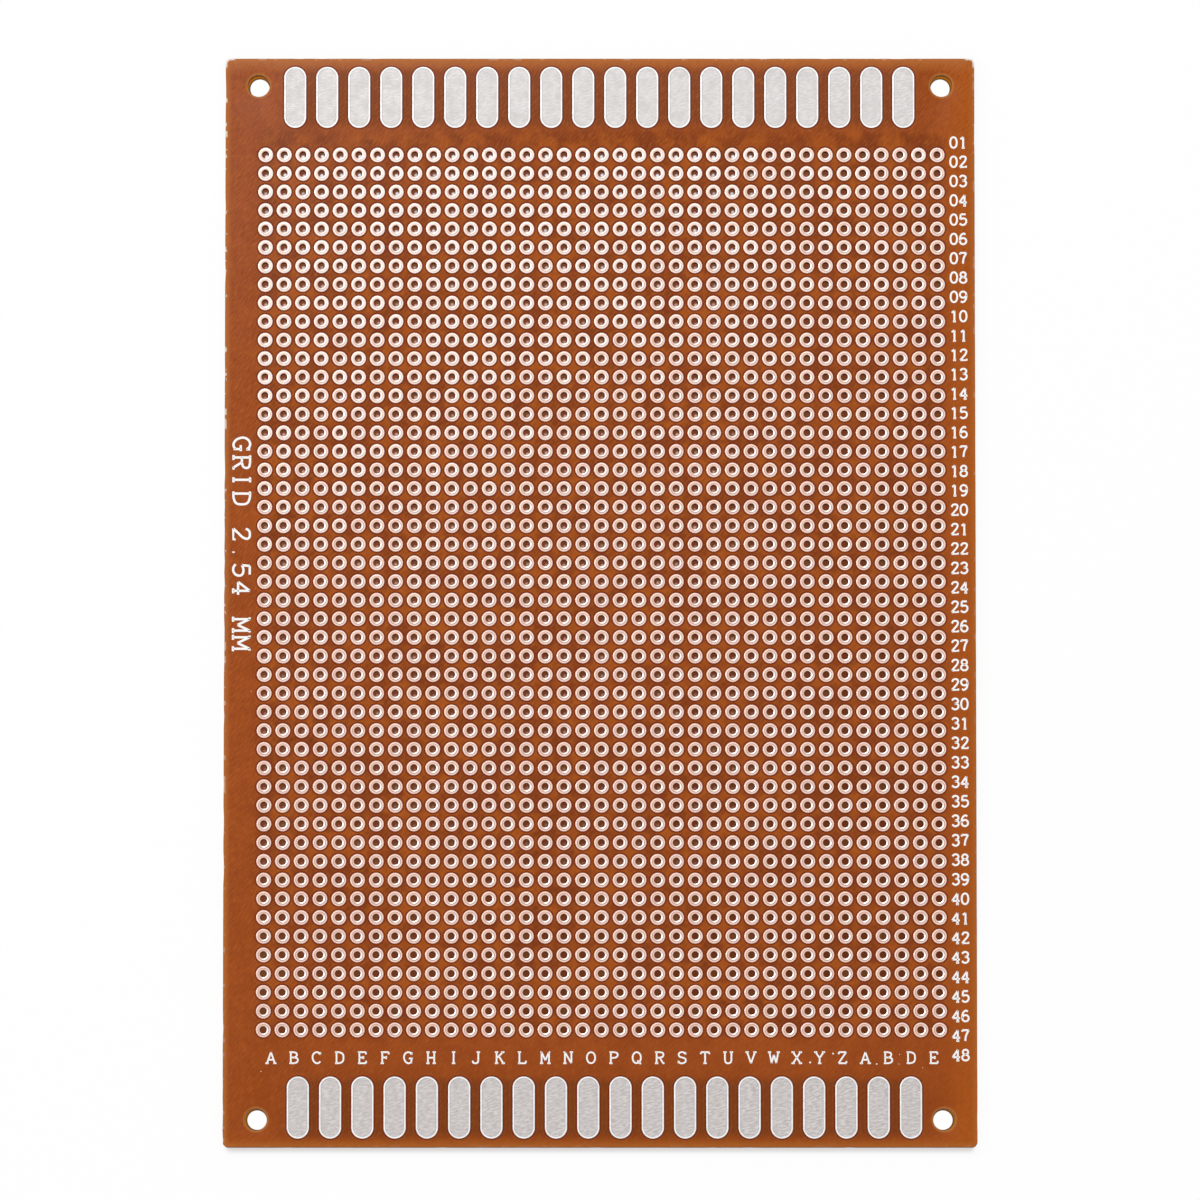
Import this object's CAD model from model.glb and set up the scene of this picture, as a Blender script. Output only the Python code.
# %% [markdown]
# A prototype board, seen from above
#
# The real thing is a sheet of brown paper laminate, about 10 by 15 cm, with 37 by 48 drilled
# holes. Each hole has a tinned ring pad, each short end a row of tinned contact fingers, and
# white numbers and letters are printed in the margins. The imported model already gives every
# size, so this script only has to make the pieces look real: softened and worn edges, domed
# pads, fingers with a raised bead, a film of ink, and a material for each of them.

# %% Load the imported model
import math
import random

import bmesh
import bpy
from mathutils import Matrix, Vector


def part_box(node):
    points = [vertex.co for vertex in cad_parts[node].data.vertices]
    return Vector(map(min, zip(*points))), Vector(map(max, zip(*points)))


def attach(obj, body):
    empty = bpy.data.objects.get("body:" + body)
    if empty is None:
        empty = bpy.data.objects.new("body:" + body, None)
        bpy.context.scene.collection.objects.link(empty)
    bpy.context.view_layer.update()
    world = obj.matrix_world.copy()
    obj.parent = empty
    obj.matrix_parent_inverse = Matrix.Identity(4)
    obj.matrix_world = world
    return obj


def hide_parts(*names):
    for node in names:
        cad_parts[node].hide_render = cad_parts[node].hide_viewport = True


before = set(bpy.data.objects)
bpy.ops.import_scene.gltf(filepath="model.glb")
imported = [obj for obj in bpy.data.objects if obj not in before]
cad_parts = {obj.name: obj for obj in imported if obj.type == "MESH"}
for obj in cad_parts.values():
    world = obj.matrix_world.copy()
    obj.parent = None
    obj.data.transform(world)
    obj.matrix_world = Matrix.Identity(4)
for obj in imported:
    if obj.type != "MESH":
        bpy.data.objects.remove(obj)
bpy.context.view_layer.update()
MM = 0.001

# %% [markdown]
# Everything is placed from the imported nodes. The board's box gives its outline and thickness.
# The first and last rows of pads give the corners of the hole grid, and each row of fingers
# gives its own middle. Only sizes that a box can't tell, such as the pitch, are typed in.

# %% Sizes read from the model
board_low, board_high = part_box("board")
half_w = board_high.x
half_l = board_high.y
top_z = board_high.z
PITCH = 2.54 * MM
COLUMNS = 37
ROWS = 48
HOLE_R = 0.5 * MM
PAD_R = 1.025 * MM
PAD_T = 0.08 * MM
CORNER_HOLE_R = 1.5 * MM
CORNER_HOLE_X = 46.5 * MM
CORNER_HOLE_Y = 70.5 * MM
TOLERANCE = 0.01 * MM
MERGE = 0.001 * MM


def middle(node):
    """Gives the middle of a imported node's box."""
    low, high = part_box(node)
    return (low + high) / 2


grid_mid = (middle("pad_row_01") + middle("pad_row_48")) / 2
first_hole = Vector((grid_mid.x - (COLUMNS - 1) / 2 * PITCH, grid_mid.y + (ROWS - 1) / 2 * PITCH))
grid_half_w = COLUMNS / 2 * PITCH
grid_half_l = ROWS / 2 * PITCH
print("first hole in mm:", [round(v / MM, 3) for v in first_hole])

# %% [markdown]
# The photograph is taken from high above, a little towards the end with the letters, with a
# long lens: the far end is hardly narrower than the near one. A long lens needs a distant
# camera. The lens follows from the distance and from how much of the table fills the picture.

# %% Camera
CAMERA_DISTANCE = 1.7
CAMERA_TILT = math.radians(6)
SEEN_WIDTH = 162.8 * MM
AIM = Vector((0, 0.05 * MM, top_z))

camera_data = bpy.data.cameras.new("camera")
camera_data.sensor_width = 36
camera_data.lens = camera_data.sensor_width * CAMERA_DISTANCE / SEEN_WIDTH
camera_data.clip_end = 20
camera = bpy.data.objects.new("camera", camera_data)
bpy.context.scene.collection.objects.link(camera)
camera.location = AIM + CAMERA_DISTANCE * Vector((0, -math.sin(CAMERA_TILT), math.cos(CAMERA_TILT)))
camera.rotation_euler = (CAMERA_TILT, 0, 0)
bpy.context.scene.camera = camera
bpy.context.scene.view_settings.view_transform = "Standard"
print("lens in mm:", round(camera_data.lens, 1))

# %% [markdown]
# Materials are node trees. Writing each link by hand takes many lines, so a small class does it.
# Its calls add a node and fill its inputs, with a value or with another node's output. The ones
# used most are the Math node and a smooth step between two values at two distances.


# %% Node helpers
class Tree:
    """A material's node tree, with short calls for the nodes that the finishes share."""

    def __init__(self, name):
        self.material = bpy.data.materials.new(name)
        self.material.use_nodes = True
        self.nodes = self.material.node_tree.nodes
        self.links = self.material.node_tree.links
        self.shader = self.nodes["Principled BSDF"]
        place = self.nodes.new("ShaderNodeTexCoord")
        self.place = place.outputs["Object"]
        self.x, self.y, self.z = self.add("ShaderNodeSeparateXYZ", {"Vector": self.place}).outputs

    def fill(self, node, name, value):
        """Links an output to an input, or types in a value."""
        if isinstance(value, bpy.types.NodeSocket):
            self.links.new(value, node.inputs[name])
        else:
            node.inputs[name].default_value = value

    def add(self, kind, inputs=None, **settings):
        """Adds a node with its settings, and with values or links for its inputs."""
        node = self.nodes.new(kind)
        for name, value in settings.items():
            setattr(node, name, value)
        for name, value in (inputs or {}).items():
            self.fill(node, name, value)
        return node

    def math(self, operation, *values):
        """Adds a Math node and gives its result."""
        inputs = dict(enumerate(values))
        return self.add("ShaderNodeMath", inputs, operation=operation).outputs[0]

    def product(self, value, *others):
        """Multiplies two or more values."""
        for other in others:
            value = self.math("MULTIPLY", value, other)
        return value

    def step(self, value, start, end, low=0.0, high=1.0):
        """Goes smoothly from low to high as value goes from start to end."""
        inputs = {"Value": value, "From Min": start, "From Max": end, "To Min": low, "To Max": high}
        return self.add("ShaderNodeMapRange", inputs, interpolation_type="SMOOTHSTEP").outputs[0]

    def noise(self, size, detail=2.0):
        """Cloudy noise whose blobs are about size metres across."""
        inputs = {"Vector": self.place, "Scale": 1 / size, "Detail": detail}
        return self.add("ShaderNodeTexNoise", inputs).outputs["Fac"]

    def mix(self, factor, a, b, blend="MIX"):
        """Mixes two colours. The node's sockets 6 and 7 take them, and its output 2 is a colour."""
        node = self.add("ShaderNodeMix", data_type="RGBA", blend_type=blend)
        self.fill(node, "Factor", factor)
        for socket, value in ((node.inputs[6], a), (node.inputs[7], b)):
            if isinstance(value, bpy.types.NodeSocket):
                self.links.new(value, socket)
            else:
                socket.default_value = (*value, 1)
        return node.outputs[2]

    def repeat(self, value, start, pitch):
        """How far value is past the nearest of the places start, start + pitch and so on."""
        away = self.math("SUBTRACT", value, start)
        return self.math("WRAP", away, pitch / 2, -pitch / 2)

    def length(self, a, b):
        """The length of a flat vector whose sides are a and b."""
        squares = self.math("ADD", self.product(a, a), self.product(b, b))
        return self.math("SQRT", squares)

    def inside(self, value, low, high, soft):
        """1 where low < value < high, with soft edges."""
        rise = self.step(value, low - soft, low + soft)
        fall = self.step(value, high - soft, high + soft, 1.0, 0.0)
        return self.product(rise, fall)

    def finished(self):
        """Prints how many nodes the tree has and gives its material."""
        print(self.material.name, "nodes:", len(self.nodes))
        return self.material


# %% [markdown]
# The laminate
#
# The sheet could be a plane cut by 1780 cylinders with Boolean modifiers, which is slow and
# leaves ragged faces. The holes repeat, so one pitch of the grid is modelled instead: a circle
# whose edges are extruded out to a square. Two Array modifiers turn that cell into the whole
# grid and merge the neighbours' shared points.

# %% One pitch of the hole grid
HOLE_SIDES = 16


def new_object(mesh, name):
    """Puts a mesh into the scene as an object at the origin."""
    obj = bpy.data.objects.new(name, mesh)
    bpy.context.scene.collection.objects.link(obj)
    return obj


def new_points(made):
    """Picks the points out of what a bmesh operator has made."""
    return [item for item in made["geom"] if isinstance(item, bmesh.types.BMVert)]


cell = bmesh.new()
bmesh.ops.create_circle(cell, segments=HOLE_SIDES, radius=HOLE_R)
for point in new_points(bmesh.ops.extrude_edge_only(cell, edges=cell.edges[:])):
    point.co *= PITCH / 2 / max(abs(point.co.x), abs(point.co.y))
bmesh.ops.translate(cell, verts=cell.verts[:], vec=(first_hole.x, first_hole.y, top_z))
print("faces in one cell:", len(cell.faces))

# %% The whole grid of holes
cell_mesh = bpy.data.meshes.new("hole_grid")
cell.to_mesh(cell_mesh)
cell.free()
grid = new_object(cell_mesh, "hole_grid")
for name, count, offset in (("across", COLUMNS, (PITCH, 0, 0)), ("along", ROWS, (0, -PITCH, 0))):
    array = grid.modifiers.new(name, "ARRAY")
    array.count = count
    array.use_relative_offset = False
    array.use_constant_offset = True
    array.constant_offset_displace = offset
    array.use_merge_vertices = True
    array.merge_threshold = TOLERANCE


def finished_mesh(obj):
    """Gives an object's mesh with its modifiers applied, and removes the object."""
    seen = obj.evaluated_get(bpy.context.evaluated_depsgraph_get())
    mesh = bpy.data.meshes.new_from_object(seen)
    bpy.data.objects.remove(obj)
    return mesh


grid_mesh = finished_mesh(grid)
print("faces in the grid:", len(grid_mesh.polygons))

# %% [markdown]
# Around the grid lies a plain margin. Its outline isn't straight: the sheet was sheared, so
# the edge wanders by a hundredth of a millimetre and small flakes are missing, most of them on
# the left. A loop of short edges is made first and nudged inwards, never outwards, so the board
# keeps its size. Then one fill closes the space between the outline, the four corner holes and
# the grid.

# %% Wear along the outline
WANDER = 0.012 * MM
SMALLEST_FLAKE = 0.02 * MM
LEFT_WEAR = {"flake_odds": 0.22, "largest": 0.08 * MM}
OTHER_WEAR = {"flake_odds": 0.05, "largest": 0.04 * MM}
wear = random.Random(5)


def worn(point):
    """Nudges a point of the outline inwards, further where a flake has come off."""
    nudge = wear.uniform(0.0, WANDER)
    side = LEFT_WEAR if point.co.x < -half_w + TOLERANCE else OTHER_WEAR
    if wear.random() < side["flake_odds"]:
        nudge += wear.uniform(SMALLEST_FLAKE, side["largest"])
    for axis, half in enumerate((half_w, half_l)):
        if abs(point.co[axis]) > half - MM / 2:
            point.co[axis] -= math.copysign(nudge, point.co[axis])


def outside_grid(point):
    """Whether a point lies in the margin, past the square outside of the grid."""
    across = abs(point.co.x - grid_mid.x) - grid_half_w
    along = abs(point.co.y - grid_mid.y) - grid_half_l
    return max(across, along) > TOLERANCE


# %% The outline of the sheet
CORNER_R = 0.7 * MM
CORNER_STEPS = 4
EDGE_CUTS = 96
sheet = bmesh.new()
sheet.from_mesh(grid_mesh)
# The rim of the grid has longer edges than the rim of a hole
grid_rim = [e for e in sheet.edges if e.is_boundary and e.calc_length() > HOLE_R]

outline = []
for quarter, (sx, sy) in enumerate(((1, 1), (-1, 1), (-1, -1), (1, -1))):
    centre = Vector((sx * (half_w - CORNER_R), sy * (half_l - CORNER_R), top_z))
    for k in range(CORNER_STEPS + 1):
        turn = (quarter + k / CORNER_STEPS) * math.pi / 2
        arm = CORNER_R * Vector((math.cos(turn), math.sin(turn), 0))
        outline.append(sheet.verts.new(centre + arm))
outline_edges = [sheet.edges.new(pair) for pair in zip(outline, outline[1:] + outline[:1])]
long_edges = [e for e in outline_edges if e.calc_length() > MM]
bmesh.ops.subdivide_edges(sheet, edges=long_edges, cuts=EDGE_CUTS)
outline = [v for v in sheet.verts if outside_grid(v)]
for point in outline:
    worn(point)
print("points in the outline:", len(outline))

# %% Fill the margin round the grid and the corner holes
CORNER_HOLE_SIDES = 32

loops = [e for e in sheet.edges if all(outside_grid(v) for v in e.verts)]
for sx in (-1, 1):
    for sy in (-1, 1):
        place = Matrix.Translation((sx * CORNER_HOLE_X, sy * CORNER_HOLE_Y, top_z))
        hole = bmesh.ops.create_circle(
            sheet, segments=CORNER_HOLE_SIDES, radius=CORNER_HOLE_R, matrix=place
        )
        loops += dict.fromkeys(e for v in hole["verts"] for e in v.link_edges)
bmesh.ops.triangle_fill(sheet, edges=grid_rim + loops, use_beauty=True, normal=(0, 0, 1))
bmesh.ops.recalc_face_normals(sheet, faces=sheet.faces[:])
if sum(face.normal.z for face in sheet.faces) < 0:
    bmesh.ops.reverse_faces(sheet, faces=sheet.faces[:])
print("faces in the top sheet:", len(sheet.faces))

# %% [markdown]
# The flat sheet becomes a solid by extruding every face downwards at once. The open rims of
# all the holes and of the outline become walls in the same step. Last, the rims that can be
# seen, round the board and round the corner holes, get a small bevel, because a sheared and
# drilled edge is never perfectly sharp, and a bevel is what catches the light.

# %% Thickness and softened edges
EDGE_BEVEL = 0.11 * MM
SHORT_EDGE = 0.27 * MM

# Shorter edges, at the lead holes and here and there at a worn corner, stay sharp
rims = [e for e in sheet.edges if e.is_boundary and e.calc_length() > SHORT_EDGE]
rims = [e for e in rims if outside_grid(e.verts[0])]
bottom = bmesh.ops.extrude_face_region(sheet, geom=sheet.faces[:], use_keep_orig=True)
bmesh.ops.translate(sheet, verts=new_points(bottom), vec=(0, 0, board_low.z - top_z))
bmesh.ops.recalc_face_normals(sheet, faces=sheet.faces[:])
bmesh.ops.bevel(
    sheet, geom=rims, offset=EDGE_BEVEL, segments=2, profile=0.5, affect="EDGES", material=-1
)
print("softened edges:", len(rims))


# %% Turn the bmesh into an object
def mesh_object(mesh_data, name, soft_angle):
    """Makes an object of a bmesh, shaded smooth where faces meet at less than soft_angle."""
    mesh = bpy.data.meshes.new(name)
    mesh_data.to_mesh(mesh)
    mesh_data.free()
    mesh.shade_smooth()
    mesh.set_sharp_from_angle(angle=math.radians(soft_angle))
    obj = new_object(mesh, name)
    sides = [round(side / MM, 3) for side in obj.dimensions]
    print(name, "faces:", len(mesh.polygons), "size in mm:", sides)
    return obj


laminate = mesh_object(sheet, "laminate", soft_angle=35)
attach(laminate, "root")
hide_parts("board")

# %% [markdown]
# A ring pad
#
# The pad is etched copper with a coat of tin. Molten tin pulls itself up into a low dome and
# runs a little way down into the hole, so the section is a steep outer rim, a nearly flat
# ring and a funnel. That section is drawn once as a chain of edges and spun round the hole.
# There are 1776 pads, so each has only a few dozen faces. No two are alike on a real board,
# so each copy is turned and stretched by a hair.

# %% Spin one ring pad
PAD_SIDES = 16
PAD_SECTION = [(PAD_R, 0), (PAD_R - 0.10 * MM, 0.068 * MM), (0.66 * MM, PAD_T), (HOLE_R, 0)]


def spun(section, sides):
    """A closed ring made by turning a closed section once round the Z axis."""
    ring = bmesh.new()
    points = [ring.verts.new((r, 0, z)) for r, z in section]
    edges = [ring.edges.new(pair) for pair in zip(points, points[1:] + points[:1])]
    bmesh.ops.spin(
        ring, geom=points + edges, axis=(0, 0, 1), cent=(0, 0, 0), angle=2 * math.pi,
        steps=sides, use_merge=True, use_duplicate=False,
    )
    bmesh.ops.remove_doubles(ring, verts=ring.verts[:], dist=MERGE)
    bmesh.ops.recalc_face_normals(ring, faces=ring.faces[:])
    return ring


pad = spun(PAD_SECTION, PAD_SIDES)
pad_mesh = bpy.data.meshes.new("ring_pad")
pad.to_mesh(pad_mesh)
pad.free()
print("faces in one pad:", len(pad_mesh.polygons))

# %% Lay out the rows of pads
NARROWEST_PAD = 0.975
THINNEST_PAD = 0.8
vary = random.Random(11)
pad_rows = []
for row in range(ROWS):
    tin = bmesh.new()
    for column in range(COLUMNS):
        start = len(tin.verts)
        tin.from_mesh(pad_mesh)
        tin.verts.ensure_lookup_table()
        spot = (first_hole.x + column * PITCH, first_hole.y - row * PITCH, top_z)
        size = [vary.uniform(least, 1.0) for least in (NARROWEST_PAD, NARROWEST_PAD, THINNEST_PAD)]
        copy = Matrix.Translation(spot) @ Matrix.Rotation(vary.uniform(0, math.tau), 4, "Z")
        copy = copy @ Matrix.Diagonal((*size, 1))
        bmesh.ops.transform(tin, matrix=copy, verts=tin.verts[start:])
    pads = mesh_object(tin, f"pads_{row + 1:02d}", soft_angle=22)
    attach(pads, "root")
    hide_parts(f"pad_row_{row + 1:02d}")
    pad_rows.append(pads)

# %% [markdown]
# A contact finger
#
# A finger is a strip with full round ends. The tin on it is flat and a little rough, with a
# raised bright bead all round where it drew back from the edge. A circle cut in two halves,
# pushed apart, is the outline. One extrusion gives the thickness and three insets give the
# rim, the bead and the flat middle. Each inset has a width, a rise and a material: the bead's
# faces carry a second, brighter one.

# %% Model one finger
FINGER_W = 3.0 * MM
FINGER_L = 8.4 * MM
FINGERS = 20
FINGER_PITCH = 4.36 * MM
FINGER_SIDES = 32
BEAD_INSETS = [(0.05 * MM, 0.03 * MM, 1), (0.15 * MM, 0, 1), (0.04 * MM, -0.014 * MM, 0)]

finger = bmesh.new()
half_side = Matrix.Rotation(math.pi / FINGER_SIDES, 4, "Z")
bmesh.ops.create_circle(
    finger, segments=FINGER_SIDES, radius=FINGER_W / 2, cap_ends=True, matrix=half_side
)
for point in finger.verts:
    point.co.y += math.copysign((FINGER_L - FINGER_W) / 2, point.co.y)
strip = bmesh.ops.extrude_face_region(finger, geom=finger.faces[:], use_keep_orig=True)
bmesh.ops.translate(finger, verts=new_points(strip), vec=(0, 0, PAD_T - BEAD_INSETS[0][1]))
bmesh.ops.recalc_face_normals(finger, faces=finger.faces[:])
face = max(finger.faces, key=lambda f: f.calc_center_median().z)
for thickness, rise, material in BEAD_INSETS:
    made = bmesh.ops.inset_region(finger, faces=[face], thickness=thickness, use_even_offset=True)
    for side in made["faces"]:
        side.material_index = material
    bmesh.ops.translate(finger, verts=face.verts[:], vec=(0, 0, rise))
finger_mesh = bpy.data.meshes.new("finger")
finger.to_mesh(finger_mesh)
finger.free()
print("faces in one finger:", len(finger_mesh.polygons))

# %% Lay out both rows of fingers
finger_rows = []
for end in ("top", "bottom"):
    spot = middle(f"contact_fingers_{end}")
    tin = bmesh.new()
    for k in range(FINGERS):
        start = len(tin.verts)
        tin.from_mesh(finger_mesh)
        tin.verts.ensure_lookup_table()
        across = spot.x + (k - (FINGERS - 1) / 2) * FINGER_PITCH
        place = (across, spot.y, top_z)
        bmesh.ops.translate(tin, verts=tin.verts[start:], vec=place)
    fingers = mesh_object(tin, f"fingers_{end}", soft_angle=14)
    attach(fingers, "root")
    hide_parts(f"contact_fingers_{end}")
    finger_rows.append(fingers)

# %% [markdown]
# The printed legend
#
# The numbers and letters are white ink, pressed through a screen, in a plain slab-serif hand
# of even strokes. A font would give other shapes, so each sign is drawn as a pen would draw
# it: a few strokes on a grid 6 units high. A stroke is straight, or smooth if it starts with
# a tilde, or a smooth loop if it starts with an at sign. An exclamation mark puts a serif on
# a point. A bevelled curve gives the strokes their width.

# %% Pen strokes of each sign
SIGNS = {
    "0": "@2,6 0.4,3 2,0 3.6,3",
    "1": "2.2,0 2.2,6;2.2,6 0.9,4.9;!2.2,0",
    "2": "~0.6,4.5 1.1,5.6 2.1,6 3.3,5.5 3.3,4.1 2,2 0.5,0;0.5,0 3.6,0 3.6,0.8",
    "3": "~0.5,5 1.2,5.8 2.3,6 3.3,5.2 3.1,3.8 1.8,3.2;"
    "~1.8,3.2 3.2,2.8 3.6,1.6 2.9,0.3 1.6,0 0.4,0.9",
    "4": "2.8,0 2.8,6;2.8,6 0.3,1.8;0.3,1.8 3.9,1.8;!2.8,0",
    "5": "3.3,6 0.9,6;0.9,6 0.7,3.2;~0.7,3.2 2,3.7 3.3,3.2 3.6,1.9 2.9,0.4 1.6,0 0.4,0.8",
    "6": "~3.2,5.5 2.3,6 1.1,5.1 0.5,3.2 0.5,1.8;@2.05,3.5 0.5,1.75 2.05,0 3.6,1.75",
    "7": "0.5,5.1 0.5,6;0.5,6 3.6,6;~3.6,6 2.3,3 1.9,0",
    "8": "@2,6 0.7,4.7 2,3.3 3.3,4.7;@2,3.2 0.4,1.6 2,0 3.6,1.6",
    "9": "~0.8,0.5 1.7,0 2.9,0.9 3.5,2.8 3.5,4.2;@1.95,2.5 3.5,4.25 1.95,6 0.4,4.25",
    "A": "0.5,0 2.2,6;2.2,6 3.9,0;1.1,1.9 3.3,1.9;!0.5,0;!3.9,0",
    "B": "0.9,0 0.9,6;0.3,6 2.2,6;~2.2,6 3.4,5.3 3.3,3.8 2.2,3.1;0.9,3.1 2.2,3.1;"
    "~2.2,3.1 3.8,2.4 3.7,0.8 2.4,0;0.3,0 2.4,0",
    "C": "~3.7,4.8 2.9,5.8 1.8,5.9 0.6,4.5 0.6,2 1.6,0.3 2.7,0 3.8,0.9;3.7,6 3.7,4.6",
    "D": "0.9,0 0.9,6;0.3,6 2,6;~2,6 3.5,5.1 3.9,3 3.5,0.9 2,0;0.3,0 2,0",
    "E": "0.9,0 0.9,6;0.3,6 3.7,6;3.7,6 3.7,4.8;0.9,3.1 2.6,3.1;2.6,3.9 2.6,2.3;"
    "0.3,0 3.8,0;3.8,0 3.8,1.3",
    "F": "0.9,0 0.9,6;0.3,6 3.7,6;3.7,6 3.7,4.8;0.9,3.1 2.6,3.1;2.6,3.9 2.6,2.3;!0.9,0",
    "G": "~3.7,4.8 2.9,5.8 1.8,5.9 0.6,4.5 0.6,2 1.6,0.3 2.7,0 3.6,0.7;"
    "3.6,0 3.6,2.6;2.5,2.6 4.2,2.6;3.7,6 3.7,4.6",
    "H": "0.9,0 0.9,6;3.6,0 3.6,6;0.9,3 3.6,3;!0.9,0;!0.9,6;!3.6,0;!3.6,6",
    "I": "2.1,0 2.1,6;!2.1,0;!2.1,6",
    "J": "2.9,6 2.9,1.5;~2.9,1.5 2.5,0.3 1.5,0 0.6,0.5 0.5,1.4;!2.9,6",
    "K": "0.9,0 0.9,6;3.6,6 0.9,2.6;1.9,3.8 3.8,0;!0.9,0;!0.9,6;!3.6,6;!3.8,0",
    "L": "0.9,0 0.9,6;0.3,0 3.7,0;3.7,0 3.7,1.4;!0.9,6",
    "M": "0.6,0 0.6,6;0.6,6 2.2,1.6;2.2,1.6 3.8,6;3.8,6 3.8,0;!0.6,0;!3.8,0;0.1,6 0.6,6;3.8,6 4.3,6",
    "N": "0.8,0 0.8,6;0.8,6 3.6,0;3.6,0 3.6,6;!0.8,0;!3.6,6;0.2,6 0.8,6",
    "O": "@2.2,6 0.4,3 2.2,0 4,3",
    "P": "0.9,0 0.9,6;0.3,6 2.3,6;~2.3,6 3.7,5.3 3.6,3.6 2.3,2.9;0.9,2.9 2.3,2.9;!0.9,0",
    "Q": "@2.2,6 0.4,3 2.2,0 4,3;2.4,1.5 4,-0.4",
    "R": "0.9,0 0.9,6;0.3,6 2.3,6;~2.3,6 3.7,5.4 3.6,3.7 2.3,3;0.9,3 2.3,3;2.3,3 3.7,0;"
    "!0.9,0;3.5,0 4.3,0",
    "S": "~3.5,4.9 2.6,5.9 1.4,5.9 0.6,5 0.9,3.7 2.1,3.1 3.4,2.4 3.6,1.1 2.6,0.1 1.4,0 0.5,1;"
    "3.5,6 3.5,4.7;0.5,0 0.5,1.4",
    "T": "2.1,0 2.1,6;0.3,4.9 0.3,6;0.3,6 3.9,6;3.9,6 3.9,4.9;!2.1,0",
    "U": "0.8,6 0.8,1.8;~0.8,1.8 1.2,0.4 2.2,0 3.2,0.4 3.6,1.8;3.6,1.8 3.6,6;!0.8,6;!3.6,6",
    "V": "0.5,6 2.2,0;2.2,0 3.9,6;!0.5,6;!3.9,6",
    "W": "0.3,6 1.2,0;1.2,0 2.2,4.6;2.2,4.6 3.2,0;3.2,0 4.1,6;!0.3,6;!4.1,6",
    "X": "0.6,0 3.8,6;0.6,6 3.8,0;!0.6,0;!3.8,6;!0.6,6;!3.8,0",
    "Y": "0.5,6 2.2,2.8;2.2,2.8 3.9,6;2.2,2.8 2.2,0;!2.2,0;!0.5,6;!3.9,6",
    "Z": "0.6,4.9 0.6,6;0.6,6 3.8,6;3.8,6 0.5,0;0.5,0 3.9,0;3.9,0 3.9,1.2",
    ".": "1.9,0.1 2.3,0.1",
}
SIGN_HEIGHT = 6
SIGN_MIDDLE = 2.1
SERIF = 0.7
print("signs:", len(SIGNS))

# %% Write with those strokes
INK_T = 0.02 * MM
STROKE_SHARE = 0.18
RIGHT = Vector((1, 0, 0))
UP = Vector((0, 1, 0))


def add_stroke(curve, points, smooth, loop):
    """Adds one stroke to a curve, straight from point to point or smooth through them."""
    spline = curve.splines.new("BEZIER")
    spline.bezier_points.add(len(points) - 1)
    for bend, point in zip(spline.bezier_points, points):
        bend.co = point
        bend.handle_left_type = bend.handle_right_type = "AUTO" if smooth else "VECTOR"
    spline.use_cyclic_u = loop


def write(curve, text, at, height, advance, stretch=1.0, right=RIGHT, up=UP):
    """Draws text, one sign every advance, with the middle of the first sign at the place at."""
    unit = height / SIGN_HEIGHT
    for k, sign in enumerate(text):
        centre = Vector(at) + right * advance * k
        for stroke in filter(None, SIGNS.get(sign, "").split(";")):
            pairs = [tuple(map(float, p.split(","))) for p in stroke.strip("~@!").split()]
            if stroke[0] == "!":
                pairs = [(pairs[0][0] - SERIF, pairs[0][1]), (pairs[0][0] + SERIF, pairs[0][1])]
            points = [
                centre + right * (u - SIGN_MIDDLE) * unit * stretch + up * (v - SIGN_HEIGHT / 2) * unit
                for u, v in pairs
            ]
            add_stroke(curve, points, stroke[0] in "~@", stroke[0] == "@")


def ink_curve(name, height):
    """Makes an empty curve whose strokes are as wide as suits signs of that height."""
    curve = bpy.data.curves.new(name, "CURVE")
    curve.dimensions = "3D"
    curve.resolution_u = 4
    curve.bevel_depth = height * STROKE_SHARE / 2
    curve.bevel_resolution = 1
    curve.use_fill_caps = True
    return curve


def pressed_flat(radius, x=0.0, y=0.0):
    """The matrix that squashes something round into a film of ink on the laminate."""
    return Matrix.Translation((x, y, top_z)) @ Matrix.Diagonal((1, 1, INK_T / radius, 1))


def printed(curve, name):
    """Turns a curve into a film of ink that lies in the laminate's top face."""
    obj = bpy.data.objects.new(name, curve)
    bpy.context.scene.collection.objects.link(obj)
    tube_mesh = finished_mesh(obj)
    strokes = bmesh.new()
    strokes.from_mesh(tube_mesh)
    bpy.data.meshes.remove(tube_mesh)
    bmesh.ops.remove_doubles(strokes, verts=strokes.verts[:], dist=MERGE)
    bmesh.ops.transform(strokes, matrix=pressed_flat(curve.bevel_depth), verts=strokes.verts[:])
    bmesh.ops.recalc_face_normals(strokes, faces=strokes.faces[:])
    legend = mesh_object(strokes, name, soft_angle=0)
    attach(legend, "root")
    return legend


# %% Number the rows
NUMBER_H = 1.46 * MM
NUMBER_ADVANCE = 1.26 * MM
NUMBER_X = 48.8 * MM
FIRST_NUMBER_Y = 62.7 * MM
LAST_NUMBER_Y = -61.8 * MM

numbers = ink_curve("row_numbers", NUMBER_H)
for row in range(ROWS):
    down = FIRST_NUMBER_Y + (LAST_NUMBER_Y - FIRST_NUMBER_Y) * row / (ROWS - 1)
    start = (NUMBER_X - NUMBER_ADVANCE / 2, down, 0)
    write(numbers, f"{row + 1:02d}", start, NUMBER_H, NUMBER_ADVANCE, stretch=1.15)
legend = [printed(numbers, "row_numbers")]

# %% Letter the columns
LETTERS = "ABCDEFGHIJKLMNOPQRSTUVWXYZABDE"
LETTER_H = 1.5 * MM
LETTER_Y = -62.15 * MM
FIRST_LETTER_X = -44.5 * MM
LAST_LETTER_X = 45.1 * MM
LETTER_PEN = 0.84

letters = ink_curve("column_letters", LETTER_H)
letters.bevel_depth *= LETTER_PEN
apart = (LAST_LETTER_X - FIRST_LETTER_X) / (len(LETTERS) - 1)
write(letters, LETTERS, (FIRST_LETTER_X, LETTER_Y, 0), LETTER_H, apart, stretch=1.25)
legend.append(printed(letters, "column_letters"))

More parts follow.
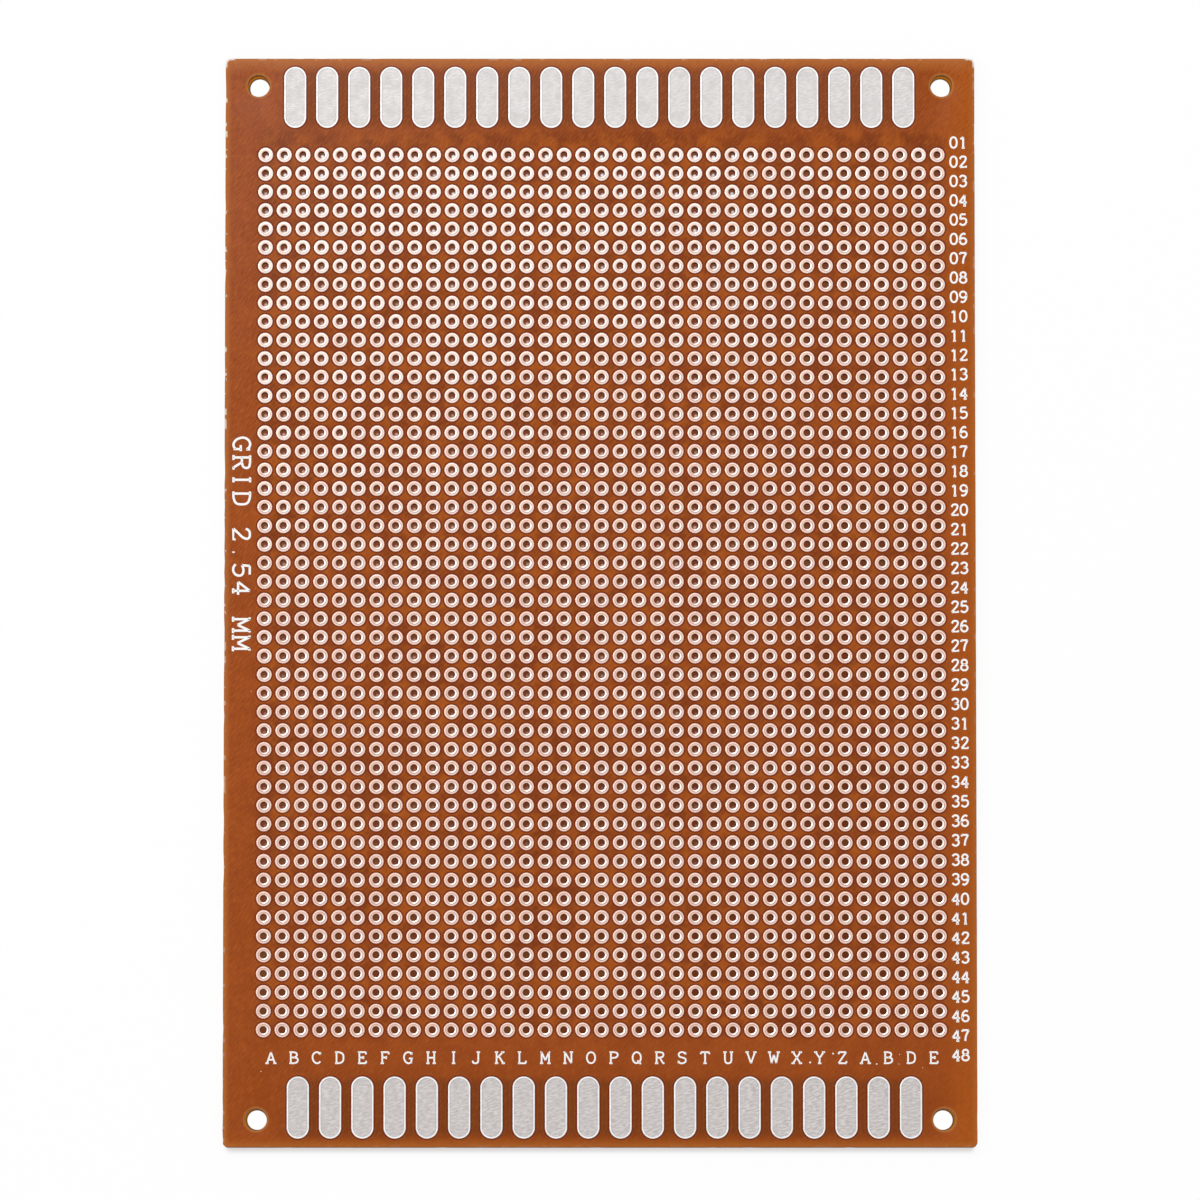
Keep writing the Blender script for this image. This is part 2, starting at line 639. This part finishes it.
# %% Mark the grid's pitch along the left side
MARK = "GRID 2.54 MM"
MARK_H = 2.25 * MM
MARK_START = (-48.65 * MM, 21.4 * MM, 0)
MARK_ADVANCE = 2.47 * MM
MARK_PEN = 0.78

mark = ink_curve("pitch_mark", MARK_H)
mark.bevel_depth *= MARK_PEN
write(
    mark, MARK, MARK_START, MARK_H, MARK_ADVANCE, stretch=1.3,
    right=Vector((0, -1, 0)), up=Vector((1, 0, 0)),
)
legend.append(printed(mark, "pitch_mark"))

# %% [markdown]
# Specks of ink
#
# The screen left a few stray dots between the letters. Each is a small ball pressed flat, as
# a drop of ink on the sheet would be.

# %% Stray dots of ink
# Place across, place along and radius of each dot in mm
SPECKS = [
    (28.4, -62.8, 0.13), (31.5, -61.6, 0.12), (37.4, -63.0, 0.10), (40.5, -61.7, 0.06),
    (40.4, -63.0, 0.06), (43.6, -63.5, 0.05), (-45.8, -64.0, 0.06), (-47.3, -12.4, 0.05),
]

drops = bmesh.new()
for x, y, radius in SPECKS:
    start = len(drops.verts)
    bmesh.ops.create_icosphere(drops, subdivisions=2, radius=radius * MM)
    drops.verts.ensure_lookup_table()
    flat = pressed_flat(radius * MM, x * MM, y * MM)
    bmesh.ops.transform(drops, matrix=flat, verts=drops.verts[start:])
specks = mesh_object(drops, "ink_specks", soft_angle=60)
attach(specks, "root")
legend.append(specks)

# %% [markdown]
# Finish of the laminate
#
# Phenolic paper laminate is a deep orange brown. In the drilled area it is cloudy on the scale
# of one pitch, where heat from the tin bath went in, and in the margins it is more even. Fine
# diagonal scratches come from polishing. A picture could be laid on it, but noise on the
# object's own coordinates has no seams and stays sharp. The distance to the nearest pad or
# finger is worked out in the nodes by wrapping the coordinates round the pitch, as if the grid
# were one tile.

# %% Distances that the finishes share
CLEAR = 5 * MM


def pad_distance(tree, shift=(0, 0)):
    """Distance from the nearest pad's centre, or from a place shifted off that centre."""
    across = tree.math("SUBTRACT", tree.repeat(tree.x, first_hole.x, PITCH), shift[0])
    along = tree.math("SUBTRACT", tree.repeat(tree.y, first_hole.y, PITCH), shift[1])
    in_x = tree.inside(tree.x, grid_mid.x - grid_half_w, grid_mid.x + grid_half_w, TOLERANCE)
    in_y = tree.inside(tree.y, grid_mid.y - grid_half_l, grid_mid.y + grid_half_l, TOLERANCE)
    outside = tree.math("SUBTRACT", 1.0, tree.product(in_x, in_y))
    return tree.math("ADD", tree.length(across, along), tree.product(outside, CLEAR))


def pitches_from(tree, value, start):
    """How many whole pitches value is from start."""
    return tree.math("ROUND", tree.math("DIVIDE", tree.math("SUBTRACT", value, start), PITCH))


def ring_values(tree):
    """Three random values from 0 to 1 for each ring of the grid."""
    column = pitches_from(tree, tree.x, first_hole.x)
    row = pitches_from(tree, tree.y, first_hole.y)
    ring = tree.add("ShaderNodeCombineXYZ", {"X": column, "Y": row}).outputs[0]
    values = tree.add("ShaderNodeTexWhiteNoise", {"Vector": ring}, noise_dimensions="2D")
    return tree.add("ShaderNodeSeparateColor", {"Color": values.outputs["Color"]}).outputs[:]


def row_distance(tree, end):
    """Distance outside the nearest finger of one row, negative inside it."""
    spot = middle(f"contact_fingers_{end}")
    to_last = (FINGERS - 1) / 2 * FINGER_PITCH
    off_middle = tree.math("ABSOLUTE", tree.math("SUBTRACT", tree.x, spot.x))
    beyond = tree.math("MAXIMUM", tree.math("SUBTRACT", off_middle, to_last), 0.0)
    in_row = tree.math("LESS_THAN", off_middle, to_last)
    nearest = tree.math("ABSOLUTE", tree.repeat(tree.x, spot.x - to_last, FINGER_PITCH))
    across = tree.math("ADD", tree.product(nearest, in_row), beyond)
    along = tree.math("ABSOLUTE", tree.math("SUBTRACT", tree.y, spot.y))
    past = tree.math("MAXIMUM", tree.math("SUBTRACT", along, (FINGER_L - FINGER_W) / 2), 0.0)
    return tree.math("SUBTRACT", tree.length(across, past), FINGER_W / 2)


def finger_distance(tree):
    """Distance outside the nearest finger of both rows, negative inside it."""
    return tree.math("MINIMUM", row_distance(tree, "top"), row_distance(tree, "bottom"))


def outline_distance(tree):
    """Distance inwards from the board's outline with its rounded corners."""
    past_x = tree.math("SUBTRACT", tree.math("ABSOLUTE", tree.x), half_w - CORNER_R)
    past_y = tree.math("SUBTRACT", tree.math("ABSOLUTE", tree.y), half_l - CORNER_R)
    round_part = tree.length(tree.math("MAXIMUM", past_x, 0.0), tree.math("MAXIMUM", past_y, 0.0))
    flat_part = tree.math("MINIMUM", tree.math("MAXIMUM", past_x, past_y), 0.0)
    return tree.math("SUBTRACT", CORNER_R, tree.math("ADD", round_part, flat_part))


def corner_hole_distance(tree, shift_x=0.0, shift_y=0.0):
    """Distance from the nearest corner hole's centre.

    The centres may be shifted inwards, in x at all four holes and in y at the far two."""
    across = tree.math("SUBTRACT", tree.math("ABSOLUTE", tree.x), CORNER_HOLE_X - shift_x)
    along = tree.math("SUBTRACT", tree.math("ABSOLUTE", tree.y), CORNER_HOLE_Y)
    if shift_y:
        far = tree.math("GREATER_THAN", tree.y, 0.0)
        along = tree.math("ADD", along, tree.product(far, shift_y))
    return tree.length(across, along)


def corner_rim_distance(tree):
    """Distance outside the rim of the nearest corner hole."""
    return tree.math("SUBTRACT", corner_hole_distance(tree), CORNER_HOLE_R)


def scratches(tree, angle, width, length):
    """Noise drawn out into fine lines that run at an angle."""
    settings = {"Vector": tree.place, "Rotation": (0, 0, angle), "Scale": (length, width, 1)}
    lines = tree.add("ShaderNodeMapping", settings, vector_type="TEXTURE").outputs["Vector"]
    return tree.add("ShaderNodeTexNoise", {"Vector": lines, "Scale": 1.0, "Detail": 2.0}).outputs["Fac"]


def bump(tree, height, distance):
    """Feeds a height into the shader's normal."""
    made = tree.add("ShaderNodeBump", {"Height": height, "Distance": distance, "Strength": 1.0})
    tree.fill(tree.shader, "Normal", made.outputs["Normal"])


# %% [markdown]
# The laminate's colours are built up in layers, each mixed over the last: cloudy brown, a shade
# between the fingers, scratches, dark lines round the metal, pale rims where the drill or the
# shears lifted the paper, and the layered look of the cut faces. The shine is weak, because the
# resin's skin is polished dull.


# %% Cloudy brown of the sheet
CLOUDY_W = grid_half_w - 0.5 * MM
CLOUDY_NEAR = grid_mid.y - grid_half_l + 0.5 * MM
CLOUDY_FAR = grid_mid.y + grid_half_l + 2.0 * MM
CLOUDY_SOFT = 1.5 * MM
CLOUDY_BROWNS = ((0.195, 0.035, 0.0030), (0.365, 0.080, 0.0060))
EVEN_BROWNS = ((0.300, 0.058, 0.0065), (0.335, 0.068, 0.0080))
PATCH_BROWN = (0.285, 0.055, 0.005)
RIGHT_BROWN = (0.415, 0.092, 0.0068)
FAR_BROWN = (0.395, 0.108, 0.016)
NEAR_BROWN = (0.390, 0.092, 0.0085)
BLOOM = (0.42, 0.36, 0.36)


def cloudy_brown(tree):
    """Brown that is cloudy between the rows of fingers and more even round that."""
    across = tree.inside(tree.x, grid_mid.x - CLOUDY_W, grid_mid.x + CLOUDY_W, CLOUDY_SOFT)
    along = tree.inside(tree.y, CLOUDY_NEAR, CLOUDY_FAR, CLOUDY_SOFT)
    clouds = tree.step(tree.noise(2.5 * MM), 0.34, 0.66)
    even = tree.mix(clouds, *EVEN_BROWNS)
    cloudy = tree.mix(clouds, *CLOUDY_BROWNS)
    base = tree.mix(tree.product(across, along), even, cloudy)
    patches = tree.step(tree.noise(16 * MM), 0.35, 0.65, 0.0, 0.3)
    base = tree.mix(patches, base, PATCH_BROWN)

    # Both ends are lighter, and so is the side with the numbers
    right = tree.step(tree.x, half_w - 6 * MM, half_w - 0.6 * MM, 0.0, 0.8)
    base = tree.mix(right, base, RIGHT_BROWN)
    far = tree.step(tree.y, half_l - 2.2 * MM, half_l - 0.8 * MM, 0.0, 0.8)
    base = tree.mix(far, base, FAR_BROWN)
    near = tree.step(tree.y, -half_l + 0.6 * MM, -half_l + 1.6 * MM, 0.6, 0.0)
    base = tree.mix(near, base, NEAR_BROWN)

    # Handling left a faint bloom on the far left corner
    diagonal = tree.math("SUBTRACT", tree.y, tree.x)
    bloom = tree.step(diagonal, 60 * MM, half_w + half_l, 0.0, 0.05)
    return tree.mix(bloom, base, BLOOM)


# %% Shade between the fingers, and scratches
LAST_FINGER_X = FINGERS / 2 * FINGER_PITCH - 1.4 * MM
SHADE_BROWN = (0.178, 0.038, 0.0048)
PALE_SCRATCH = (0.45, 0.130, 0.022)
DARK_SCRATCH = (0.19, 0.034, 0.003)


def finger_shade(tree, base):
    """Darkens the sheet between the fingers, and hardly past their ends and the row's ends."""
    shade = tree.step(finger_distance(tree), 0.5 * MM, 1.7 * MM, 0.85, 0.0)
    along = tree.math("SUBTRACT", tree.math("ABSOLUTE", tree.y), middle("contact_fingers_top").y)
    in_length = tree.step(tree.math("ABSOLUTE", along), 3.0 * MM, 4.6 * MM, 1.0, 0.15)
    off_middle = tree.math("ABSOLUTE", tree.x)
    in_row = tree.step(off_middle, LAST_FINGER_X - MM, LAST_FINGER_X, 1.0, 0.2)
    return tree.mix(tree.product(shade, in_length, in_row), base, SHADE_BROWN)


def scratched(tree, base, fine):
    """Draws pale and dark scratches, which show more towards the far left corner."""
    rubbed = tree.step(tree.math("SUBTRACT", tree.y, tree.x), -80 * MM, 70 * MM, 0.5, 1.0)
    pale = tree.product(rubbed, tree.step(fine, 0.5, 0.7, 0.0, 0.45))
    base = tree.mix(pale, base, PALE_SCRATCH)
    dark = tree.product(rubbed, tree.step(fine, 0.5, 0.3, 0.0, 0.45))
    return tree.mix(dark, base, DARK_SCRATCH)


# %% Lines round the metal
WIDE_LINE = (0.175, 0.028, 0.002)
CLOSE_LINE = (0.170, 0.012, 0.0002)
PALE_LINE = (0.45, 0.12, 0.025)


def metal_lines(tree, base):
    """Draws a dark line round every pad and finger, with a faint pale one outside it."""
    from_pad = tree.math("SUBTRACT", pad_distance(tree), PAD_R)
    nearest = tree.math("MINIMUM", from_pad, finger_distance(tree))
    dark = tree.step(nearest, 0.08 * MM, 0.30 * MM, 0.8, 0.0)
    base = tree.mix(dark, base, WIDE_LINE)
    close = tree.step(nearest, 0.05 * MM, 0.17 * MM, 0.8, 0.0)
    base = tree.mix(close, base, CLOSE_LINE)
    pale = tree.inside(nearest, 0.32 * MM, 0.42 * MM, 0.06 * MM)
    return tree.mix(tree.product(pale, 0.16), base, PALE_LINE)


# %% Worn edges and corners
LIFTED_PAPER = (0.46, 0.19, 0.045)
EDGE_BROWN = (0.46, 0.150, 0.028)
FLAKED_PAPER = (0.78, 0.66, 0.53)
BARE_PAPER = (0.84, 0.77, 0.70)


def worn_edges(tree, base):
    """Lightens the rims of the corner holes and of the board, with flakes along its left side."""
    lifted = tree.step(corner_rim_distance(tree), 0.08 * MM, 0.40 * MM, 0.6, 0.0)
    base = tree.mix(lifted, base, LIFTED_PAPER)
    from_edge = outline_distance(tree)
    left = tree.step(tree.x, -half_w + MM, -half_w + 2 * MM, 1.0, 0.0)
    pale = tree.step(from_edge, 0.10 * MM, 1.00 * MM, 1.0, 0.0)
    pale = tree.product(pale, tree.step(left, 0.0, 1.0, 0.45, 0.65))
    base = tree.mix(pale, base, EDGE_BROWN)
    flakes = tree.product(
        tree.step(tree.noise(1.1 * MM, 3.0), 0.57, 0.61),
        tree.step(from_edge, 0.18 * MM, 0.32 * MM, 0.9, 0.0),
        tree.step(left, 0.0, 1.0, 0.2, 1.0),
        tree.step(tree.y, -50 * MM, 50 * MM, 0.25, 1.0),
    )
    return tree.mix(flakes, base, FLAKED_PAPER)


def chipped_corners(tree, base):
    """Bares pale paper at the two far corners."""
    past_side = tree.math("SUBTRACT", tree.math("ABSOLUTE", tree.x), half_w)
    from_corner = tree.length(past_side, tree.math("SUBTRACT", tree.y, half_l))
    ragged = tree.product(tree.noise(0.6 * MM, 3.0), 0.2 * MM)
    from_edge = tree.math("ADD", outline_distance(tree), ragged)
    chip = tree.product(
        tree.step(from_edge, 0.28 * MM, 0.40 * MM, 0.9, 0.0),
        tree.step(from_corner, 0.9 * MM, 1.5 * MM, 1.0, 0.0),
    )
    return tree.mix(chip, base, BARE_PAPER)


# %% Cut faces
PLY_T = 0.2094 * MM
PLY_BROWNS = ((0.150, 0.034, 0.007), (0.240, 0.064, 0.014))
AMBER = (0.42, 0.150, 0.018)


def cut_faces(tree, base):
    """Shows layers of paper where the sheet is cut, amber deep down in the corner holes."""
    from_top = tree.math("SUBTRACT", top_z, tree.z)
    cut = tree.inside(from_top, 0.08 * MM, top_z - 0.02 * MM, 0.02 * MM)
    plies = tree.math("SINE", tree.product(tree.z, math.tau / PLY_T))
    paper = tree.mix(tree.step(plies, -1, 1), *PLY_BROWNS)
    base = tree.mix(cut, base, paper)
    amber = tree.product(
        cut,
        tree.step(from_top, 0.4 * MM, 0.9 * MM, 0.8, 0.0),
        tree.step(corner_rim_distance(tree), 0.15 * MM, 0.25 * MM, 1.0, 0.0),
    )
    return tree.mix(amber, base, AMBER)


# %% All layers of the laminate
SCRATCH_ANGLE = math.radians(52)
SCRATCH_W = 0.17 * MM
SCRATCH_L = 1.0 * MM


def laminate_finish():
    """Brown paper laminate, built up in layers."""
    tree = Tree("phenolic_paper")
    fine = scratches(tree, SCRATCH_ANGLE, SCRATCH_W, SCRATCH_L)
    base = scratched(tree, finger_shade(tree, cloudy_brown(tree)), fine)
    for layer in (metal_lines, worn_edges, chipped_corners, cut_faces):
        base = layer(tree, base)
    tree.fill(tree.shader, "Base Color", base)
    tree.fill(tree.shader, "Roughness", tree.step(fine, 0.3, 0.7, 0.38, 0.52))
    tree.fill(tree.shader, "Specular IOR Level", 0.10)
    bump(tree, tree.math("ADD", tree.product(fine, 0.5), tree.noise(0.5 * MM)), 0.012 * MM)
    return tree.finished()


laminate.data.materials.append(laminate_finish())

# %% [markdown]
# Finish of the tin
#
# Tin dipped from a bath is bright and slightly uneven. Its coat on the pads is thickest, and so
# whitest, in the far left corner, and elsewhere the copper under it gives a peach tint,
# strongest in a line where the ring turns into the funnel. The fingers are greyer and dull,
# with faint wrinkles, and their bead is nearly white. All three are metals with noise in their
# colour, their roughness and their bump.


# %% Tin on the pads
LIP_TURN = (0.10 * MM, -0.05 * MM)
THICK_TIN = (0.83, 0.72, 0.645)
COPPER_TINTS = ((0.75, 0.465, 0.320), (0.73, 0.435, 0.355))
RIM_TIN = (0.90, 0.80, 0.74)
BAND_TIN = (0.92, 0.83, 0.79)
LINE_COPPER = (0.43, 0.24, 0.18)
LIP_TINTS = ((0.84, 0.58, 0.49), (0.93, 0.86, 0.84))
LIP_SHADE = (0.36, 0.17, 0.12)


def pad_finish():
    """Bright tin over copper, for the ring pads."""
    tree = Tree("pad_tin")
    pads = pad_distance(tree)
    thinness, hue, _ = ring_values(tree)
    uneven = tree.noise(1.1 * MM, 3.0)
    slope = tree.math("SUBTRACT", tree.product(tree.x, 0.5), tree.y)
    slope = tree.math("ADD", slope, tree.product(uneven, 12 * MM))
    slope = tree.math("ADD", slope, tree.product(thinness, 36 * MM))
    thin = tree.step(slope, -56 * MM, 27 * MM)
    copper = tree.mix(hue, *COPPER_TINTS)
    tint = tree.mix(thin, THICK_TIN, copper)
    rim = tree.step(pads, 0.91 * MM, 0.96 * MM, 0.0, 0.3)
    tint = tree.mix(rim, tint, RIM_TIN)
    band = tree.inside(pads, 0.82 * MM, 0.91 * MM, 0.02 * MM)
    tint = tree.mix(tree.product(band, 0.65), tint, BAND_TIN)
    line = tree.inside(pads, 0.68 * MM, 0.80 * MM, 0.02 * MM)
    line = tree.product(line, tree.step(thin, 0.0, 1.0, 0.5, 0.9))
    tint = tree.mix(line, tint, LINE_COPPER)

    # The lip is whiter where it faces the light, on the right and the near side
    shifted = pad_distance(tree, LIP_TURN)
    facing = tree.math("DIVIDE", tree.math("SUBTRACT", pads, shifted), math.hypot(*LIP_TURN))
    lip = tree.mix(tree.step(facing, -0.4, 0.8), *LIP_TINTS)
    inner = tree.step(pads, 0.50 * MM, 0.60 * MM, 0.8, 0.0)
    inner = tree.product(inner, tree.step(facing, 0.3, -0.4))
    lip = tree.mix(inner, lip, LIP_SHADE)
    tint = tree.mix(tree.step(pads, 0.66 * MM, 0.70 * MM, 0.9, 0.0), tint, lip)
    tree.fill(tree.shader, "Base Color", tint)
    tree.fill(tree.shader, "Metallic", 0.8)
    tree.fill(tree.shader, "Roughness", tree.step(uneven, 0.3, 0.7, 0.30, 0.40))
    bump(tree, tree.noise(0.35 * MM), 0.008 * MM)
    return tree.finished()


pad_tin = pad_finish()
for pads in pad_rows:
    pads.data.materials.append(pad_tin)


# %% Tin on the fingers, and its bead
WRINKLE_ANGLE = math.radians(14)
WRINKLE_W = 0.20 * MM
WRINKLE_L = 0.75 * MM
WRINKLE_TINTS = ((0.44, 0.42, 0.412), (0.63, 0.61, 0.60))
SMOOTH_TIN = (0.535, 0.515, 0.506)
CLOUD_TIN = (0.51, 0.49, 0.48)
NEAR_END_SHADE = (0.95, 0.92, 0.915)
BEAD_FOOT = (0.34, 0.32, 0.31)
BEAD_TINTS = ((0.80, 0.80, 0.80), (0.88, 0.88, 0.88))


def finger_finish():
    """Dull grey tin, for the flat of the fingers."""
    tree = Tree("finger_tin")
    wrinkles = scratches(tree, WRINKLE_ANGLE, WRINKLE_W, WRINKLE_L)
    cloudy = tree.noise(1.4 * MM, 3.0)
    tint = tree.mix(tree.step(wrinkles, 0.36, 0.64), *WRINKLE_TINTS)
    smooth = tree.step(tree.math("SUBTRACT", tree.x, tree.y), -80 * MM, 100 * MM, 0.6, 0.0)
    tint = tree.mix(smooth, tint, SMOOTH_TIN)
    tint = tree.mix(tree.step(cloudy, 0.35, 0.65, 0.0, 0.4), tint, CLOUD_TIN)
    near = tree.step(tree.y, -half_l, half_l, 1.0, 0.0)
    tint = tree.mix(near, tint, NEAR_END_SHADE, "MULTIPLY")
    edge = tree.inside(finger_distance(tree), -0.31 * MM, -0.23 * MM, 0.03 * MM)
    tint = tree.mix(tree.product(edge, 0.5), tint, BEAD_FOOT)
    tree.fill(tree.shader, "Base Color", tint)
    tree.fill(tree.shader, "Metallic", 0.6)
    tree.fill(tree.shader, "Roughness", tree.step(cloudy, 0.3, 0.7, 0.45, 0.6))
    bump(tree, tree.math("ADD", wrinkles, tree.noise(0.2 * MM)), 0.012 * MM)
    return tree.finished()


def bead_finish():
    """Nearly white tin, for the bead round a finger."""
    tree = Tree("bead_tin")
    uneven = tree.noise(0.6 * MM)
    tint = tree.mix(tree.step(uneven, 0.3, 0.7), *BEAD_TINTS)
    tree.fill(tree.shader, "Base Color", tint)
    tree.fill(tree.shader, "Metallic", 0.5)
    tree.fill(tree.shader, "Roughness", tree.step(uneven, 0.3, 0.7, 0.30, 0.40))
    bump(tree, uneven, 0.002 * MM)
    return tree.finished()


finger_tin, bead_tin = finger_finish(), bead_finish()
for fingers in finger_rows:
    fingers.data.materials.append(finger_tin)
    fingers.data.materials.append(bead_tin)


# %% [markdown]
# Finish of the ink
#
# Screen ink is a matt, slightly grainy white that lets a breath of brown through where it is
# thin.


# %% Ink material
INK_TINTS = ((0.95, 0.95, 0.94), (0.78, 0.70, 0.64))


def ink_finish():
    """Matt white ink, for everything that is printed."""
    tree = Tree("legend_ink")
    thin = tree.noise(0.25 * MM, 3.0)
    tint = tree.mix(tree.step(thin, 0.6, 0.85, 0.0, 0.25), *INK_TINTS)
    tree.fill(tree.shader, "Base Color", tint)
    tree.fill(tree.shader, "Roughness", 0.6)
    tree.fill(tree.shader, "Specular IOR Level", 0.2)
    bump(tree, thin, 0.006 * MM)
    return tree.finished()


ink = ink_finish()
for print_piece in legend:
    print_piece.data.materials.append(ink)

# %% [markdown]
# The table
#
# The board lies on a white table. A camera ray takes most of the table's colour from a plain
# white, so that the background stays white, and the rest from real light. Before the near edge
# the real light has a larger share, so that the shadow stays. Thin laminate lets a warm brown
# light through, and that is what the bottom of a lead hole shows, with a paler spot where light
# falls straight in. In the corner holes the table shows white, in a disc that is a little
# smaller than the hole and off its centre.

# %% Light that reaches the table under the board
GLINT_SHIFT = (0.07 * MM, -0.13 * MM)
GLINT_STRAY = 0.08 * MM
WHITE_DISC_R = 1.31 * MM
DISC_SHIFT = (0.14 * MM, 0.23 * MM)
SHINE_THROUGH = ((0.20, 0.060, 0.026), (0.125, 0.030, 0.009))
OTHER_SHINE = (0.15, 0.068, 0.022)
GLINTS = ((0.66, 0.40, 0.33), (0.86, 0.84, 0.88))
CORNER_AMBER = (0.36, 0.115, 0.008)
CORNER_DARK = (0.055, 0.009, 0.001)


def glint(tree, moved):
    """A round spot near each lead hole's centre, moved a little at random."""
    shift = [
        tree.step(value, 0.0, 1.0, usual - GLINT_STRAY, usual + GLINT_STRAY)
        for value, usual in zip(moved, GLINT_SHIFT)
    ]
    return tree.step(pad_distance(tree, shift), 0.08 * MM, 0.34 * MM, 1.0, 0.0)


def glint_strength(tree, lit):
    """Strong at the far end and on the left, and a little random."""
    strength = tree.step(tree.y, -55 * MM, 25 * MM, 0.0, 0.72)
    strength = tree.math("ADD", strength, tree.step(tree.y, 10 * MM, 45 * MM, 0.0, 0.15))
    strength = tree.math("ADD", strength, tree.step(tree.y, 58 * MM, 60 * MM, 0.0, 0.7))
    to_left = tree.step(tree.x, 12 * MM, 30 * MM, 1.0, 0.05)
    return tree.product(strength, to_left, tree.step(lit, 0.0, 1.0, 0.55, 1.25))


def under_board(tree):
    """The colour of the table under the board."""
    moved_x, moved_y, lit = ring_values(tree)
    diagonal = tree.step(tree.math("SUBTRACT", tree.x, tree.y), -90 * MM, 90 * MM)
    brown = tree.mix(diagonal, *SHINE_THROUGH)
    brown = tree.mix(tree.step(moved_y, 0.6, 0.9, 0.0, 0.4), brown, OTHER_SHINE)
    pale = tree.mix(tree.step(tree.y, 35 * MM, 61 * MM), *GLINTS)
    spot = tree.product(glint(tree, (moved_x, moved_y)), glint_strength(tree, lit))
    shown = tree.mix(spot, brown, pale)

    # Round a corner hole's white disc the table is darkest, and amber further out
    from_hole = corner_hole_distance(tree, *DISC_SHIFT)
    around = tree.step(from_hole, 2.2 * MM, 2.4 * MM, 1.0, 0.0)
    shown = tree.mix(around, shown, CORNER_AMBER)
    close = tree.step(from_hole, WHITE_DISC_R + 0.05 * MM, WHITE_DISC_R + 0.20 * MM, 1.0, 0.0)
    return tree.mix(close, shown, CORNER_DARK)


# %% Table
TABLE_SIZE = 6.0
TABLE_GAP = 0.01 * MM
WHITE_SHARE = 0.92
WHITE_SHARE_IN_SHADOW = 0.52
SHADOW_REACH = 1.15 * MM


def seen_directly(nodes, links):
    """1 for a camera ray, also one that is reflected or refracted, and 0 for other light."""
    ray = nodes.new("ShaderNodeLightPath")
    seen = ray.outputs["Is Camera Ray"]
    for kind in ("Is Glossy Ray", "Is Transmission Ray"):
        either = nodes.new("ShaderNodeMath")
        either.operation = "MAXIMUM"
        links.new(seen, either.inputs[0])
        links.new(ray.outputs[kind], either.inputs[1])
        seen = either.outputs[0]
    return seen


def white_share(tree, under):
    """How much of what the camera sees of the table is its own colour, and not real light."""
    before_edge = tree.product(
        tree.step(tree.y, -half_l - SHADOW_REACH, -half_l),
        tree.math("LESS_THAN", tree.y, -half_l + MM),
        tree.step(tree.math("ABSOLUTE", tree.x), half_w - MM, half_w, 1.0, 0.0),
    )
    share = tree.step(before_edge, 0.0, 1.0, WHITE_SHARE, WHITE_SHARE_IN_SHADOW)
    return tree.math("MAXIMUM", under, share)


def table_finish():
    """A white table that the camera sees evenly lit, and brown under the board."""
    tree = Tree("table")
    tree.fill(tree.shader, "Base Color", (0.93, 0.93, 0.93, 1))
    tree.fill(tree.shader, "Roughness", 0.9)
    tree.fill(tree.shader, "Specular IOR Level", 0.0)
    under = tree.product(
        tree.step(tree.math("ABSOLUTE", tree.x), half_w - MM, half_w - MM / 2, 1.0, 0.0),
        tree.step(tree.math("ABSOLUTE", tree.y), half_l - MM, half_l - MM / 2, 1.0, 0.0),
    )
    from_hole = corner_hole_distance(tree, *DISC_SHIFT)
    covered = tree.step(from_hole, WHITE_DISC_R - 0.03 * MM, WHITE_DISC_R + 0.03 * MM)
    colour = tree.mix(tree.product(under, covered), (1.0, 1.0, 1.0), under_board(tree))
    shown = tree.add("ShaderNodeEmission", {"Color": colour, "Strength": 1.0}).outputs[0]
    seen = tree.product(seen_directly(tree.nodes, tree.links), white_share(tree, under))
    mixed = tree.add("ShaderNodeMixShader", {"Fac": seen})
    tree.links.new(tree.shader.outputs[0], mixed.inputs[1])
    tree.links.new(shown, mixed.inputs[2])
    tree.links.new(mixed.outputs[0], tree.nodes["Material Output"].inputs["Surface"])
    return tree.finished()


bpy.ops.mesh.primitive_plane_add(size=TABLE_SIZE, location=(0, 0, board_low.z - TABLE_GAP))
table = bpy.context.object
table.name = "table"
table.data.materials.append(table_finish())

# %% [markdown]
# Lamps and sky
#
# A large lamp high above the far end gives the short shadow along the near edge. A second, weak
# one stands low on the left and puts a bright crescent on the far side of each funnel. The sky
# fills the rest evenly, and reflections see it white, as the table is.

# %% Lamps
# Name, place, side in metres and watts
LAMPS = [
    ("key", (-0.16, 0.56, 0.84), 0.30, 3.8),
    ("side", (-0.62, 0.16, 0.58), 0.30, 1.2),
]
SKY = 0.60


def lamp(name, place, size, watts):
    """A square lamp that faces the middle of the board."""
    data = bpy.data.lights.new(name, "AREA")
    data.size = size
    data.energy = watts
    obj = bpy.data.objects.new(name, data)
    bpy.context.scene.collection.objects.link(obj)
    obj.location = place
    obj.rotation_euler = (-Vector(place)).to_track_quat("-Z", "Y").to_euler()


for settings in LAMPS:
    lamp(*settings)
print("lamps:", [name for name, *_ in LAMPS])

# %% Sky
WHITE = (1, 1, 1, 1)
world = bpy.data.worlds.new("sky")
bpy.context.scene.world = world
world.use_nodes = True
sky = world.node_tree
light = sky.nodes["Background"]
light.inputs["Color"].default_value = WHITE
light.inputs["Strength"].default_value = SKY
backdrop = sky.nodes.new("ShaderNodeBackground")
backdrop.inputs["Color"].default_value = WHITE
blend = sky.nodes.new("ShaderNodeMixShader")
sky.links.new(seen_directly(sky.nodes, sky.links), blend.inputs[0])
sky.links.new(light.outputs[0], blend.inputs[1])
sky.links.new(backdrop.outputs[0], blend.inputs[2])
sky.links.new(blend.outputs[0], sky.nodes["World Output"].inputs["Surface"])
print("nodes of the sky:", len(sky.nodes))
